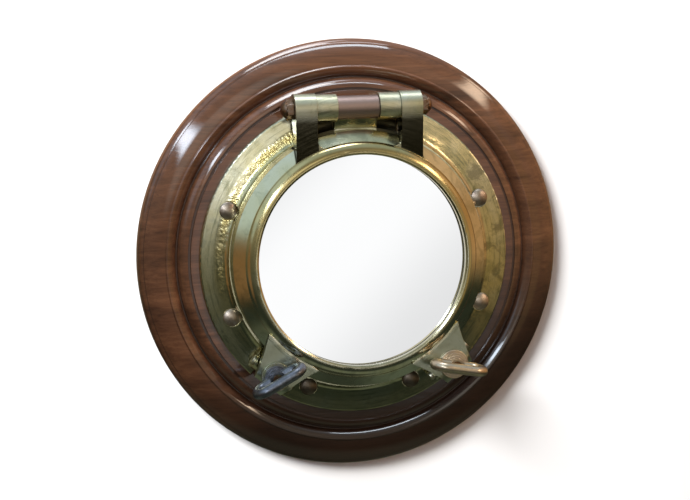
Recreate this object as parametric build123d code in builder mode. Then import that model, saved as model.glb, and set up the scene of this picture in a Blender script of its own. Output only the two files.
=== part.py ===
from build123d import *
import math
import os

os.makedirs("parts", exist_ok=True)

# Lengths are in millimetres. The wall is the plane Y = 0, the front looks along -Y, Z is up.
# Heights are measured from the wall towards the front.

# Leaf: clear opening, rounded lip and sloping outer wall
sight_radius = 101.5
lip_width = 12.0
lip_rise = 5.5
lip_edge_depth = 0.8
lip_crest_share = 0.86
lip_round = 1.0
lip_brow_share = 0.68
bevel_width = 10.5
bevel_height = 8.5
leaf_wall_height = 8.0

# Pane, its bedding and the ring that holds it from behind
pane_overlap = 5.5
pane_thickness = 5.0
bedding_thickness = 1.2
pane_recess = 4.5
retainer_width = 8.0
retainer_thickness = 5.0
gasket_width = 6.0
gasket_depth = 3.0
gasket_inset = 6.0

# Base casting: spigot, seat, shoulder and flange
bore_margin = 1.0
spigot_wall = 7.0
spigot_setback = 0.5
seat_margin = 2.5
shoulder_height = 6.5
shoulder_foot = 5.0
flange_reach = 21.5
flange_fall = 3.5
flange_edge = 4.0
edge_round = 1.6

# Turned wooden ring, from the flange outwards
wood_seat_height = 27.0
seat_strip = 8.0
groove_width = 2.0
groove_depth = 1.6
bead_width = 7.0
bead_drop = 10.5
bead_brow_share = 0.72
quirk_depth = 1.4
ovolo_width = 16.0
ovolo_rise = 7.5
ovolo_belly_share = 0.75
ridge_step = 1.2
cushion_width = 24.0
wood_side_height = 11.0
cushion_out_share = 0.3
cushion_up_share = 0.72
wood_back_chamfer = 1.5

# Bolts through flange and wood
bolt_count = 8
bolt_phase_share = 0.5
bolt_inset = 18.5
bolt_radius = 4.0
bolt_head_radius = 8.5
bolt_head_edge = 1.8
bolt_head_dome = 2.2
spot_depth = 1.0
spot_margin = 0.7
washer_radius = 9.0
washer_thickness = 1.6
nut_across_flats = 13.0
nut_thickness = 6.5
nut_setback = 0.9
counterbore_margin = 2.0

# Hinge at the top
hinge_offset = 21.7
hinge_height = 48.0
barrel_radius = 13.25
hinge_pin_radius = 5.0
sleeve_radius = 11.2
sleeve_length = 40.5
knuckle_length = 20.0
knuckle_web = 10.0
strap_length = 20.8
strap_eye_margin = 1.2
strap_slope = 5.0
strap_flare = 7.0
strap_lap = 4.0
strap_belly = 3.5
cap_across_flats = 17.0
cap_hex_length = 6.5
cap_dome_length = 5.5
cap_thread_length = 6.0
saddle_depth = 15.0
saddle_rise = 4.0

# Dogs: forked lug on the leaf, cheeks on the base, eye bolt, washer and ring nut
bottom_angle = 270.0
dog_angle = 39.5
dog_offset = 14.5
dog_pivot_drop = 11.3
dog_pin_radius = 4.0
eye_radius = 7.5
eye_width = 28.0
cheek_radius = 7.8
cheek_width = 7.0
pin_head_radius = 4.8
pin_head_length = 3.0
dog_bolt_radius = 5.0
lug_root_width = 61.0
lug_tip_width = 32.0
lug_tip_reach = 12.0
lug_waist_share = 0.4
lug_thickness = 8.0
lug_step = 4.2
lug_lap = 4.0
ledge_width = 3.2
ledge_height = 1.1
fork_clearance = 0.5
dog_washer_radius = 14.2
dog_washer_thickness = 2.6
collar_radius = 11.6
collar_height = 3.2
step_radius = 9.5
step_height = 2.5
hub_radius = 7.6
loop_bar_radius = 5.0
loop_length = 57.5
loop_height = 29.5
loop_lift = 0.6
loop_angle_left = 27.5
loop_angle_right = -11.0

# Clearances
running_clearance = 0.06
fit_clearance = 0.05
face_clearance = 0.3
bolt_clearance = 0.3
thread_gap = 0.1
overrun = 2.0

# Radii that follow, from the centre outwards
lip_radius = sight_radius + lip_width
leaf_radius = lip_radius + bevel_width
pane_radius = sight_radius + pane_overlap
pocket_radius = pane_radius + face_clearance
gasket_outer = leaf_radius - gasket_inset
gasket_inner = gasket_outer - gasket_width
base_bore = sight_radius + bore_margin
spigot_radius = base_bore + spigot_wall
wood_bore = spigot_radius + face_clearance
seat_radius = leaf_radius + seat_margin
shoulder_radius = seat_radius + shoulder_foot
flange_radius = shoulder_radius + flange_reach
bolt_circle = flange_radius - bolt_inset
strip_radius = flange_radius + seat_strip
groove_radius = strip_radius + groove_width
bead_radius = groove_radius + bead_width
ridge_radius = bead_radius + ovolo_width
wood_radius = ridge_radius + cushion_width

# Heights that follow, from the wall to the front
flange_top = wood_seat_height + flange_edge
shoulder_base = flange_top + flange_fall
seat_height = shoulder_base + shoulder_height
leaf_back = seat_height + face_clearance
bevel_base = leaf_back + leaf_wall_height
lip_base = bevel_base + bevel_height
lip_crest = lip_base + lip_rise
lip_edge = lip_crest - lip_edge_depth
pane_stop = lip_edge - pane_recess
pane_front = pane_stop - bedding_thickness
pane_back = pane_front - pane_thickness
gasket_top = leaf_back + gasket_depth
gasket_back = seat_height + face_clearance / 2
bead_foot = wood_seat_height - bead_drop
ridge_height = bead_foot - quirk_depth + ovolo_rise
cushion_height = ridge_height - ridge_step
bolt_seat = flange_top + flange_fall * (bolt_inset / flange_reach) - spot_depth
washer_seat = nut_setback + nut_thickness + washer_thickness

# Places that follow
hinge_rise = leaf_radius + hinge_offset
strap_eye = barrel_radius + strap_eye_margin
knuckle_start = sleeve_length / 2 + face_clearance
strap_start = knuckle_start + knuckle_length + face_clearance
cap_start = strap_start + strap_length + face_clearance
dog_radius = leaf_radius + dog_offset
lug_top = lip_crest - lug_step
lug_bottom = lug_top - lug_thickness
lug_tip = dog_radius + lug_tip_reach
dog_pivot = lug_bottom - dog_pivot_drop
notch_width = eye_width + 2 * bolt_clearance
washer_base = lug_top + face_clearance
nut_base = washer_base + dog_washer_thickness + thread_gap
loop_bend = loop_height / 2 - loop_bar_radius
loop_straight = loop_length - loop_height
loop_middle = nut_base + loop_lift + loop_height / 2
window_floor = loop_middle - loop_bend + loop_bar_radius
dog_bolt_end = window_floor - fork_clearance

face = Plane(origin=(0, 0, 0), x_dir=(1, 0, 0), z_dir=(0, -1, 0))
section = Plane(origin=(0, 0, 0), x_dir=(1, 0, 0), z_dir=(0, 0, -1))
side = Plane(origin=(0, 0, 0), x_dir=(0, 0, 1), z_dir=(1, 0, 0))


def ray(angle):
    """Direction from the centre line at an angle from +X towards +Z."""
    return (math.cos(math.radians(angle)), 0, math.sin(math.radians(angle)))


def dog_section(angle):
    """Plane through the centre line and a dog: x outwards, y to the front."""
    out = ray(angle)
    return Plane(origin=(0, 0, 0), x_dir=out, z_dir=(out[2], 0, -out[0]))


def dog_face(angle, height):
    """Plane across a dog at a height: x outwards, y along the pivot pin."""
    return Plane(origin=(0, -height, 0), x_dir=ray(angle), z_dir=(0, -1, 0))


def dome_radius(half_width, rise):
    """Radius of the ball that a dome of this half width and rise is cut from."""
    return (half_width * half_width + rise * rise) / (2 * rise)


def bolt_places():
    """Places of the flange bolts on the face plane."""
    step = 360 / bolt_count
    angles = [math.radians(step * (index + bolt_phase_share)) for index in range(bolt_count)]
    return [(bolt_circle * math.cos(a), bolt_circle * math.sin(a)) for a in angles]


dog_angles = {"left": bottom_angle - dog_angle, "right": bottom_angle + dog_angle}
loop_angles = {"left": loop_angle_left, "right": loop_angle_right}

# Turned ring: flat seat, groove, quarter-round bead, quirk, ovolo, ridge and cushion
with BuildPart() as wood_mount:
    with BuildSketch(section):
        with BuildLine():
            Polyline(
                (wood_bore, wood_seat_height),
                (wood_bore, 0),
                (wood_radius - wood_back_chamfer, 0),
                (wood_radius, wood_back_chamfer),
                (wood_radius, wood_side_height),
            )
            ThreePointArc(
                (wood_radius, wood_side_height),
                (
                    wood_radius - cushion_width * cushion_out_share,
                    wood_side_height + (cushion_height - wood_side_height) * cushion_up_share,
                ),
                (ridge_radius + ridge_step, cushion_height),
            )
            RadiusArc(
                (ridge_radius + ridge_step, cushion_height),
                (ridge_radius, ridge_height),
                -ridge_step,
            )
            ThreePointArc(
                (ridge_radius, ridge_height),
                (bead_radius + ovolo_width / 2, bead_foot - quirk_depth + ovolo_rise * ovolo_belly_share),
                (bead_radius, bead_foot - quirk_depth),
            )
            Line((bead_radius, bead_foot - quirk_depth), (bead_radius, bead_foot))
            ThreePointArc(
                (bead_radius, bead_foot),
                (groove_radius + bead_width * bead_brow_share, bead_foot + bead_drop * bead_brow_share),
                (groove_radius, wood_seat_height),
            )
            Polyline(
                (groove_radius, wood_seat_height),
                (groove_radius, wood_seat_height - groove_depth),
                (strip_radius, wood_seat_height - groove_depth),
                (strip_radius, wood_seat_height),
                (wood_bore, wood_seat_height),
            )
        make_face()
    revolve(axis=Axis.Y)
    with BuildSketch(face):
        with Locations(*bolt_places()):
            Circle(bolt_radius + bolt_clearance)
    extrude(amount=wood_seat_height, mode=Mode.SUBTRACT)
    with BuildSketch(face):
        with Locations(*bolt_places()):
            Circle(washer_radius + counterbore_margin)
    extrude(amount=washer_seat, mode=Mode.SUBTRACT)

# Hinge knuckle of the base, seen from the side: barrel on a web that stands on the flange
with BuildPart() as knuckle:
    with BuildSketch(side.offset(knuckle_start)):
        with Locations((hinge_rise, hinge_height)):
            Circle(barrel_radius)
        with BuildLine():
            Polyline(
                (hinge_rise - knuckle_web / 2, wood_seat_height),
                (flange_radius - edge_round - knuckle_web / 2, wood_seat_height),
                (flange_radius - edge_round - knuckle_web / 2, flange_top),
                (hinge_rise + knuckle_web / 2, hinge_height),
                (hinge_rise - barrel_radius, hinge_height),
                (hinge_rise - knuckle_web / 2, wood_seat_height),
            )
        make_face()
    extrude(amount=knuckle_length)

# Base casting
with BuildPart() as base_ring:
    with BuildSketch(section):
        with BuildLine():
            Polyline(
                (seat_radius, seat_height),
                (base_bore, seat_height),
                (base_bore, spigot_setback),
                (spigot_radius, spigot_setback),
                (spigot_radius, wood_seat_height),
                (flange_radius, wood_seat_height),
                (flange_radius, flange_top - edge_round),
            )
            RadiusArc(
                (flange_radius, flange_top - edge_round),
                (flange_radius - edge_round, flange_top),
                -edge_round,
            )
            Line((flange_radius - edge_round, flange_top), (shoulder_radius, shoulder_base))
            RadiusArc((shoulder_radius, shoulder_base), (seat_radius, seat_height), shoulder_height)
        make_face()
    revolve(axis=Axis.Y)
    add(knuckle.part)
    mirror(knuckle.part, about=Plane.YZ)
    with BuildSketch(side.offset(-knuckle_start)):
        with BuildLine():
            Polyline(
                (seat_radius - seat_margin / 2, wood_seat_height),
                (seat_radius + saddle_depth, wood_seat_height),
                (seat_radius + saddle_depth, seat_height + saddle_rise),
                (seat_radius - seat_margin / 2, seat_height),
                (seat_radius - seat_margin / 2, wood_seat_height),
            )
        make_face()
    extrude(amount=2 * knuckle_start)
    with BuildSketch(side.offset(-knuckle_start)):
        with Locations((hinge_rise, hinge_height)):
            Circle(sleeve_radius + face_clearance)
    extrude(amount=2 * knuckle_start, mode=Mode.SUBTRACT)
    with BuildSketch(side.offset(-strap_start)):
        with Locations((hinge_rise, hinge_height)):
            Circle(hinge_pin_radius + fit_clearance)
    extrude(amount=2 * strap_start, mode=Mode.SUBTRACT)
    for angle in dog_angles.values():
        with BuildSketch(dog_section(angle)):
            with Locations((dog_radius, dog_pivot)):
                Circle(cheek_radius)
            with BuildLine():
                Polyline(
                    (dog_radius - cheek_radius, dog_pivot),
                    (dog_radius - cheek_radius, wood_seat_height),
                    (dog_radius + cheek_radius, wood_seat_height),
                    (dog_radius + cheek_radius, dog_pivot),
                    (dog_radius - cheek_radius, dog_pivot),
                )
            make_face()
        extrude(amount=notch_width / 2 + cheek_width, both=True)
        with BuildSketch(dog_face(angle, wood_seat_height)):
            with Locations((dog_radius, 0)):
                Rectangle(
                    flange_radius - shoulder_radius + overrun,
                    notch_width,
                    align=(Align.MIN, Align.CENTER),
                )
                Rectangle(eye_radius + face_clearance, notch_width, align=(Align.MAX, Align.CENTER))
        extrude(amount=lug_top - wood_seat_height, mode=Mode.SUBTRACT)
        with BuildSketch(dog_section(angle)):
            with Locations((dog_radius, dog_pivot)):
                Circle(dog_pin_radius + fit_clearance)
        extrude(amount=notch_width / 2 + cheek_width, both=True, mode=Mode.SUBTRACT)
    with BuildSketch(face.offset(bolt_seat)):
        with Locations(*bolt_places()):
            Circle(bolt_head_radius + spot_margin)
    extrude(amount=seat_height - bolt_seat, mode=Mode.SUBTRACT)
    with BuildSketch(face):
        with Locations(*bolt_places()):
            Circle(bolt_radius + bolt_clearance)
    extrude(amount=seat_height, mode=Mode.SUBTRACT)

# Round-headed bolts, washers and nuts through flange and wood
with BuildPart() as flange_bolt:
    with BuildSketch(section):
        with BuildLine():
            Polyline(
                (0, bolt_seat + bolt_head_edge + bolt_head_dome),
                (0, nut_setback),
                (bolt_radius, nut_setback),
                (bolt_radius, bolt_seat),
                (bolt_head_radius, bolt_seat),
                (bolt_head_radius, bolt_seat + bolt_head_edge),
            )
            RadiusArc(
                (bolt_head_radius, bolt_seat + bolt_head_edge),
                (0, bolt_seat + bolt_head_edge + bolt_head_dome),
                -dome_radius(bolt_head_radius, bolt_head_dome),
            )
        make_face()
    revolve(axis=Axis.Y)

with BuildPart() as flange_washers:
    with BuildSketch(face.offset(washer_seat - washer_thickness)):
        with Locations(*bolt_places()):
            Circle(washer_radius)
            Circle(bolt_radius + bolt_clearance, mode=Mode.SUBTRACT)
    extrude(amount=washer_thickness)

with BuildPart() as flange_nuts:
    with BuildSketch(face.offset(nut_setback)):
        with Locations(*bolt_places()):
            RegularPolygon(nut_across_flats / 2, side_count=6, major_radius=False)
            Circle(bolt_radius + fit_clearance, mode=Mode.SUBTRACT)
    extrude(amount=nut_thickness)

with BuildPart() as flange_bolts:
    with Locations(*[(x, 0, z) for x, z in bolt_places()]):
        add(flange_bolt.part)

# Hinge pin, sleeve and domed cap nuts
with BuildPart() as hinge_pin:
    with BuildSketch(side.offset(-cap_start - cap_thread_length)):
        with Locations((hinge_rise, hinge_height)):
            Circle(hinge_pin_radius)
    extrude(amount=2 * (cap_start + cap_thread_length))

with BuildPart() as hinge_sleeve:
    with BuildSketch(side.offset(-sleeve_length / 2)):
        with Locations((hinge_rise, hinge_height)):
            Circle(sleeve_radius)
            Circle(hinge_pin_radius + fit_clearance, mode=Mode.SUBTRACT)
    extrude(amount=sleeve_length)

cap_axis = Axis((0, -hinge_height, hinge_rise), (1, 0, 0))
cap_plane = Plane(origin=(0, -hinge_height, hinge_rise), x_dir=(1, 0, 0), z_dir=(0, -1, 0))
cap_end = cap_start + cap_hex_length + cap_dome_length
with BuildPart() as cap_nut:
    with BuildSketch(side.offset(cap_start)):
        with Locations((hinge_rise, hinge_height)):
            RegularPolygon(cap_across_flats / 2, side_count=6, major_radius=False)
    extrude(amount=cap_hex_length)
    with BuildSketch(cap_plane):
        with BuildLine():
            Polyline(
                (cap_end, 0),
                (cap_start + cap_hex_length, 0),
                (cap_start + cap_hex_length, cap_across_flats / 2),
            )
            RadiusArc(
                (cap_start + cap_hex_length, cap_across_flats / 2),
                (cap_end, 0),
                dome_radius(cap_across_flats / 2, cap_dome_length),
            )
        make_face()
    revolve(axis=cap_axis)
    with BuildSketch(side.offset(cap_start)):
        with Locations((hinge_rise, hinge_height)):
            Circle(hinge_pin_radius + fit_clearance)
    extrude(amount=cap_thread_length + fit_clearance, mode=Mode.SUBTRACT)

with BuildPart() as hinge_cap_nut_left:
    mirror(cap_nut.part, about=Plane.YZ)

# Hinge strap of the leaf: eye, sloping front and flared root
with BuildPart() as strap:
    with BuildSketch(side.offset(strap_start - strap_flare)):
        with Locations((hinge_rise, hinge_height)):
            Circle(strap_eye)
        with BuildLine():
            Polyline(
                (hinge_rise, hinge_height + strap_eye),
                (lip_radius - strap_length - strap_flare, hinge_height + strap_eye - strap_slope),
                (lip_radius - strap_length - strap_flare, bevel_base - strap_belly),
                (leaf_radius, bevel_base - strap_belly),
                (hinge_rise, hinge_height - strap_eye),
                (hinge_rise, hinge_height + strap_eye),
            )
        make_face()
    extrude(amount=strap_length + 2 * strap_flare)
    with BuildSketch(face.offset(wood_seat_height)) as strap_plan:
        Circle(lip_radius)
        with Locations((strap_start, 0)):
            Rectangle(strap_length, hinge_rise + strap_eye, align=(Align.MIN, Align.MIN))
        fillet(strap_plan.vertices().sort_by(Axis.Y)[-4:-2], strap_flare)
        Circle(lip_radius - strap_lap, mode=Mode.SUBTRACT)
    extrude(amount=lip_crest - wood_seat_height, mode=Mode.INTERSECT)


def lug_outline():
    """Plan of a lug on the sketch in hand: broad root, hollow sides and a narrow tip."""
    root = (lip_radius - lug_lap, lug_root_width / 2)
    tip = (lug_tip, lug_tip_width / 2)
    waist = ((root[0] + tip[0]) / 2, tip[1] + (root[1] - tip[1]) * lug_waist_share)
    with BuildLine() as outline:
        Line((root[0], -root[1]), root)
        ThreePointArc(root, waist, tip)
        Line(tip, (tip[0], -tip[1]))
        ThreePointArc((tip[0], -tip[1]), (waist[0], -waist[1]), (root[0], -root[1]))
    make_face(outline.edges())


# Forked lugs of the leaf, one for each dog, with a low ledge along the lip
lugs = []
nose = lug_top - dog_pivot
nose_fall = math.sqrt(nose * nose - lug_tip_reach * lug_tip_reach)
for angle in dog_angles.values():
    with BuildPart() as lug:
        with BuildSketch(dog_section(angle)):
            with BuildLine():
                Polyline(
                    (dog_radius, lug_top),
                    (lip_radius - lug_lap, lug_top),
                    (lip_radius - lug_lap, lug_bottom),
                    (lug_tip, lug_bottom),
                    (lug_tip, dog_pivot + nose_fall),
                )
                RadiusArc((lug_tip, dog_pivot + nose_fall), (dog_radius, lug_top), -nose)
            make_face()
        extrude(amount=lug_root_width, both=True)
        with BuildSketch(dog_face(angle, lug_bottom)):
            lug_outline()
        extrude(amount=lug_thickness, mode=Mode.INTERSECT)
        with BuildSketch(dog_face(angle, lug_bottom)):
            with Locations((dog_radius, 0)):
                Circle(dog_bolt_radius + fork_clearance)
                Rectangle(
                    lug_tip_reach + overrun,
                    2 * (dog_bolt_radius + fork_clearance),
                    align=(Align.MIN, Align.CENTER),
                )
        extrude(amount=lug_thickness, mode=Mode.SUBTRACT)
    with BuildPart() as ledge:
        with BuildSketch(section):
            with BuildLine():
                Polyline(
                    (lip_radius - lug_lap, lug_bottom),
                    (lip_radius + ledge_width, lug_bottom),
                    (lip_radius + ledge_width, lug_top + ledge_height),
                    (lip_radius - lug_lap, lug_top + ledge_height),
                    (lip_radius - lug_lap, lug_bottom),
                )
            make_face()
        revolve(axis=Axis.Y)
        with BuildSketch(dog_face(angle, lug_bottom)):
            lug_outline()
        extrude(amount=lug_thickness + ledge_height, mode=Mode.INTERSECT)
    lugs += [lug.part, ledge.part]

# Leaf casting
with BuildPart() as leaf_ring:
    with BuildSketch(section) as leaf_section:
        with BuildLine():
            Polyline(
                (sight_radius, lip_edge),
                (sight_radius, pane_stop),
                (pocket_radius, pane_stop),
                (pocket_radius, leaf_back),
                (gasket_inner, leaf_back),
                (gasket_inner, gasket_top),
                (gasket_outer, gasket_top),
                (gasket_outer, leaf_back),
                (leaf_radius, leaf_back),
                (leaf_radius, bevel_base),
                (lip_radius, lip_base),
            )
            ThreePointArc(
                (lip_radius, lip_base),
                (
                    lip_radius - lip_width * lip_crest_share * (1 - lip_brow_share),
                    lip_base + lip_rise * lip_brow_share,
                ),
                (lip_radius - lip_width * lip_crest_share, lip_crest),
            )
            Line((lip_radius - lip_width * lip_crest_share, lip_crest), (sight_radius, lip_edge))
        make_face()
        fillet(leaf_section.vertices().sort_by(Axis.Y)[-1], lip_round)
    revolve(axis=Axis.Y)
    add(strap.part)
    mirror(strap.part, about=Plane.YZ)
    for lug_part in lugs:
        add(lug_part)
    with BuildSketch(side.offset(-cap_start)):
        with Locations((hinge_rise, hinge_height)):
            Circle(hinge_pin_radius + running_clearance)
    extrude(amount=2 * cap_start, mode=Mode.SUBTRACT)

with BuildPart() as pane_bedding:
    with BuildSketch(face.offset(pane_front)):
        Circle(pane_radius)
        Circle(sight_radius, mode=Mode.SUBTRACT)
    extrude(amount=bedding_thickness)

with BuildPart() as mirror_pane:
    with BuildSketch(face.offset(pane_back)):
        Circle(pane_radius)
    extrude(amount=pane_thickness)

with BuildPart() as pane_retaining_ring:
    with BuildSketch(face.offset(pane_back - retainer_thickness)):
        Circle(pocket_radius - fit_clearance)
        Circle(pocket_radius - fit_clearance - retainer_width, mode=Mode.SUBTRACT)
    extrude(amount=retainer_thickness)

with BuildPart() as leaf_gasket:
    with BuildSketch(face.offset(gasket_back)):
        Circle(gasket_outer - fit_clearance)
        Circle(gasket_inner + fit_clearance, mode=Mode.SUBTRACT)
    extrude(amount=gasket_top - gasket_back)

# Pieces of each dog
dog_parts = {}
for name, angle in dog_angles.items():
    out = ray(angle)
    axis_point = (dog_radius * out[0], 0, dog_radius * out[2])
    dog_axis = Axis(axis_point, (0, -1, 0))
    spin = ray(loop_angles[name])
    nut_section = Plane(origin=axis_point, x_dir=spin, z_dir=(spin[2], 0, -spin[0]))

    with BuildPart() as dog_pin:
        with BuildSketch(dog_section(angle)):
            with Locations((dog_radius, dog_pivot)):
                Circle(dog_pin_radius)
        extrude(amount=notch_width / 2 + cheek_width, both=True)
        with BuildSketch(
            dog_section(angle).offset(notch_width / 2 + cheek_width),
            dog_section(angle).offset(-notch_width / 2 - cheek_width - pin_head_length),
        ):
            with Locations((dog_radius, dog_pivot)):
                Circle(pin_head_radius)
        extrude(amount=pin_head_length)

    with BuildPart() as dog_bolt:
        with BuildSketch(dog_section(angle)):
            with Locations((dog_radius, dog_pivot)):
                Circle(eye_radius)
        extrude(amount=eye_width / 2, both=True)
        with BuildSketch(dog_face(angle, dog_pivot)):
            with Locations((dog_radius, 0)):
                Circle(dog_bolt_radius)
        extrude(amount=dog_bolt_end - dog_pivot)
        with BuildSketch(dog_section(angle)):
            with Locations((dog_radius, dog_pivot)):
                Circle(dog_pin_radius + running_clearance)
        extrude(amount=eye_width, both=True, mode=Mode.SUBTRACT)

    with BuildPart() as dog_washer:
        with BuildSketch(dog_face(angle, washer_base)):
            with Locations((dog_radius, 0)):
                Circle(dog_washer_radius)
                Circle(dog_bolt_radius + bolt_clearance, mode=Mode.SUBTRACT)
        extrude(amount=dog_washer_thickness)

    with BuildPart() as ring_nut:
        with BuildSketch(nut_section):
            with BuildLine():
                Polyline(
                    (0, nut_base),
                    (collar_radius, nut_base),
                    (collar_radius, nut_base + collar_height),
                    (step_radius, nut_base + collar_height),
                    (step_radius, nut_base + collar_height + step_height),
                    (hub_radius, nut_base + collar_height + step_height),
                    (hub_radius, window_floor),
                    (0, window_floor),
                    (0, nut_base),
                )
            make_face()
        revolve(axis=dog_axis)
        with BuildLine(nut_section) as loop_path:
            Line(
                (-loop_straight / 2, loop_middle + loop_bend),
                (loop_straight / 2, loop_middle + loop_bend),
            )
            ThreePointArc(
                (loop_straight / 2, loop_middle + loop_bend),
                (loop_straight / 2 + loop_bend, loop_middle),
                (loop_straight / 2, loop_middle - loop_bend),
            )
            Line(
                (loop_straight / 2, loop_middle - loop_bend),
                (-loop_straight / 2, loop_middle - loop_bend),
            )
            ThreePointArc(
                (-loop_straight / 2, loop_middle - loop_bend),
                (-loop_straight / 2 - loop_bend, loop_middle),
                (-loop_straight / 2, loop_middle + loop_bend),
            )
        with BuildSketch(Plane(loop_path.wire() ^ 0)):
            Circle(loop_bar_radius)
        sweep(path=loop_path.wire())
        with BuildSketch(dog_face(angle, nut_base)):
            with Locations((dog_radius, 0)):
                Circle(dog_bolt_radius + running_clearance)
        extrude(amount=window_floor - nut_base, mode=Mode.SUBTRACT)

    dog_parts["dog_pin_" + name] = dog_pin.part
    dog_parts["dog_bolt_" + name] = dog_bolt.part
    dog_parts["dog_washer_" + name] = dog_washer.part
    dog_parts["ring_nut_" + name] = ring_nut.part

pieces = {
    "wood_mount": wood_mount.part,
    "base_ring": base_ring.part,
    "flange_bolts": flange_bolts.part,
    "flange_washers": flange_washers.part,
    "flange_nuts": flange_nuts.part,
    "hinge_pin": hinge_pin.part,
    "hinge_sleeve": hinge_sleeve.part,
    "hinge_cap_nut_left": hinge_cap_nut_left.part,
    "hinge_cap_nut_right": cap_nut.part,
    "leaf_ring": leaf_ring.part,
    "mirror_pane": mirror_pane.part,
    "pane_bedding": pane_bedding.part,
    "pane_retaining_ring": pane_retaining_ring.part,
    "leaf_gasket": leaf_gasket.part,
}
pieces.update(dog_parts)

for label, piece in pieces.items():
    piece.label = label
    export_step(piece, "parts/" + label + ".step")
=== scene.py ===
"""Looks of a brass porthole on a turned wooden ring, laid out as an add-on."""
import math

import bmesh
import bpy
from bpy.props import FloatProperty, FloatVectorProperty, IntProperty, PointerProperty
from mathutils import Matrix, Vector


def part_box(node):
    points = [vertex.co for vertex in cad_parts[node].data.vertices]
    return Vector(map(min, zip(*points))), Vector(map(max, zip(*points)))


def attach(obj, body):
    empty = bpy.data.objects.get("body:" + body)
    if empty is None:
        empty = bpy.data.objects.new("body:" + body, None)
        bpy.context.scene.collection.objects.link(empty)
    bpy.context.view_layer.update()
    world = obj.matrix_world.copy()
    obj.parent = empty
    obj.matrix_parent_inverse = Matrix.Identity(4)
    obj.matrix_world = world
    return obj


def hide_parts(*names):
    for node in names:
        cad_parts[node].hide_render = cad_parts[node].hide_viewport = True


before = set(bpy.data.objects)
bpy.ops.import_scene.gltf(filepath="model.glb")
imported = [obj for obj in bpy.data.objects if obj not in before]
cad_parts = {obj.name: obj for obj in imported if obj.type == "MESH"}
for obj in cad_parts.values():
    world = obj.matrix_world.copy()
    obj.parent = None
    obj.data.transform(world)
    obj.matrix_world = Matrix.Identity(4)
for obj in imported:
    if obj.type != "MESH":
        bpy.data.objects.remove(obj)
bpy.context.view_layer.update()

bl_info = {
    "name": "Porthole Dresser",
    "version": (1, 0, 0),
    "blender": (4, 5, 0),
    "location": "View3D > Sidebar > Porthole",
    "description": "Finishes and turned pieces of a porthole on a wooden ring, with its stage",
    "category": "Object",
}

FRONT = Vector((0, -1, 0))
SIDES = ("left", "right")

# Turned front of the wooden ring. The section starts at the edge of the seat and runs outwards: radius and
# height in millimetres, then turn in degrees and steps of an arc (no turn for a straight run).
SECTION_START = (161.05, 26.9)
WOOD_SECTION = (
    (161.05, 25.0, 0, 1),
    (163.5, 25.0, 0, 1),
    (163.5, 26.2, 0, 1),
    (172.8, 19.5, 75, 9),
    (173.1, 16.9, 0, 1),
    (174.2, 16.9, 0, 1),
    (183.0, 22.6, 52, 9),
    (184.6, 21.6, 64, 5),
    (204.6, 16.6, 24, 10),
    (204.75, 15.9, 0, 1),
    (210.0, 10.4, 72, 8),
    (210.0, 1.6, 0, 1),
)
# Limits of the CAD ring's moulded front, in metres
BACK_EDGE = 0.0016
SEAT_HEIGHT = 0.02699
SEAT_WALL = 0.1605
SEAT_EDGE = 0.1611
BETWEEN_OPEN_EDGES = 0.18

MERGE_DISTANCE = 2e-6
FLAT_ANGLE = math.radians(0.3)
SHARP_ANGLE = math.radians(30)
WOOD_CREASE = 35

# Zones of the finishes, in metres: low and high ends of a soft step, or the two ends and softness of a band
# Side of the ring that gets a painted warm glow, by radius and depth
WOOD_SIDE_RADIUS = (0.2088, 0.2098)
WOOD_SIDE_DEPTH = (-0.0125, -0.0095)
WOOD_FRONT_DEPTH = (-0.004, -0.008)
# Lower right of the wood, darkened with painted shade
WOOD_SHADE_ZONE = (-0.02, -0.16)
# Quirk lines and groove of the wood, darkened with painted shade
SHADED_QUIRKS = ((0.2045, 0.2049, 0.0002), (0.1728, 0.1745, 0.0004), (0.1610, 0.1636, 0.0003))
CAST_RING = (0.1275, 0.1375, 0.003)
# Upper left, where the knobbly ring is lumpier and carries painted glints
CAST_UPPER_LEFT = (0.02, 0.09)
FLANGE_OUTSIDE = (0.137, 0.144)
# Height over which the flange gets olive painted shade towards the bottom
FLANGE_LOW_SHADE = (-0.15, 0.01)
FLANGE_RIGHT = (0.07, 0.13)
# Gaps under the hinge knuckles, darkened with painted shade
GAP_WIDTH = (0.0205, 0.0420, 0.001)
GAP_HEIGHT = (0.112, 0.1325, 0.0015)
LIP_RADIUS = (0.1145, 0.1130)
LIP_UPPER = (-0.02, 0.05)
LUG_HEIGHT = (-0.055, -0.075)
LUG_RADIUS = (0.1132, 0.1150)
STRAP_WIDTH = (0.0400, 0.0624, 0.0006)
STRAP_HEIGHT = (0.092, 0.138, 0.006)
STRAP_RADIUS = (0.1125, 0.1145)
BARREL_HEIGHT = (0.132, 0.140)
BARREL_WIDTH = (0.08, 0.07)
# Bolts low on the flange and the colour of the painted shade on them
LOW_BOLTS_SHADED = (-0.08, -0.12)
BOLT_SHADE = (0.02, 0.016, 0.010, 1)

# Grain of the wood: scale along X, Y and Z, and its slant
FIGURE_SCALE = (4.0, 30.0, 42.0)
STREAK_SCALE = (9.0, 240.0, 260.0)
PORE_SCALE = (60.0, 1300.0, 1500.0)
GRAIN_SLANT = (0, math.radians(5), 0)

# Studio. Bands from below upwards: low and high ends by the upward part of the direction, and colour.
STUDIO_NADIR = (0.03, 0.034, 0.022, 1)
STUDIO_BANDS = (
    (-0.985, -0.93, (0.15, 0.17, 0.12, 1)),
    (-0.80, -0.60, (0.026, 0.034, 0.025, 1)),
    (-0.42, -0.12, (0.12, 0.115, 0.075, 1)),
    (-0.1, 0.12, (0.26, 0.245, 0.18, 1)),
    (0.45, 0.85, (0.42, 0.53, 0.60, 1)),
    (0.965, 0.986, (6.6, 7.1, 7.8, 1)),
)
WARM_SIDE = (0.50, 0.29, 0.13, 1)
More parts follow.
